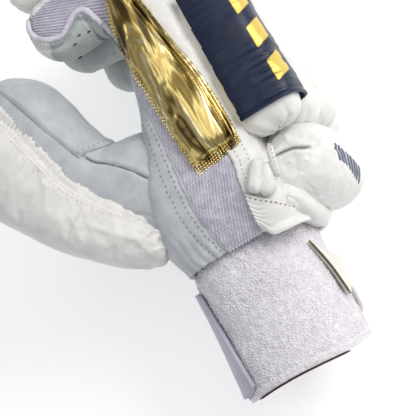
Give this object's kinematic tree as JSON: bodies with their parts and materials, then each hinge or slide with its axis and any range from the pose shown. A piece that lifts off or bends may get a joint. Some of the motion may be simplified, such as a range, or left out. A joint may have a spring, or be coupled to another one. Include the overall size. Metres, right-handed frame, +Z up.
{
  "type": "cricket batting glove",
  "caption": "Right-hand cricket batting glove with padded finger rolls, a padded thumb, a gold side bar and a towelling wristband.",
  "frame": {"origin": "centre of the bottom of the bounding box, on the surface that the glove lies on", "axes": "+Y from the cuff to the fingers, +Z up from the little-finger side to the thumb side, +X from the palm to the back of the hand"},
  "size_m": [0.1468, 0.214, 0.114],
  "materials": {
    "palm_leather": "soft cool grey-white sheepskin, matte, fine grain",
    "white_leather": "smooth white leather over foam, faint sheen",
    "white_knit": "ribbed off-white knit, matte",
    "navy_leather": "smooth navy coated leather, soft sheen",
    "gold_foil": "mirror-bright gold foil coating on synthetic leather",
    "towelling": "looped white towelling, matte",
    "strap_vinyl": "off-white coated fabric, low sheen"
  },
  "bodies": {
    "root": {"palm": "palm_leather", "back_panel": "white_leather", "side_gusset": "white_knit", "index_stall": "palm_leather", "middle_stall": "palm_leather", "ring_stall": "palm_leather", "little_stall": "palm_leather", "index_gusset": "white_knit", "thumb_stall": "palm_leather", "thumb_patch": "palm_leather", "thumb_guard": "white_leather", "hand_roll_index": "white_leather", "knuckle_roll_index": "white_leather", "finger_roll_index": "white_leather", "tip_roll_index": "white_leather", "hand_roll_middle": "white_leather", "knuckle_roll_middle": "white_leather", "finger_roll_middle": "white_leather", "tip_roll_middle": "white_leather", "hand_roll_ring": "white_leather", "knuckle_roll_ring": "white_leather", "finger_roll_ring": "white_leather", "tip_roll_ring": "white_leather", "hand_roll_little": "white_leather", "knuckle_roll_little": "white_leather", "finger_roll_little": "white_leather", "tip_roll_little": "white_leather", "index_sleeve": "navy_leather", "side_bar": "gold_foil", "bolster": "white_leather", "wrist_roll": "white_leather", "side_puff_1": "white_leather", "side_puff_2": "white_leather", "back_flap": "white_leather", "wristband": "towelling", "cuff_hem": "white_knit", "wrist_strap": "strap_vinyl"}
  },
  "joints": []
}
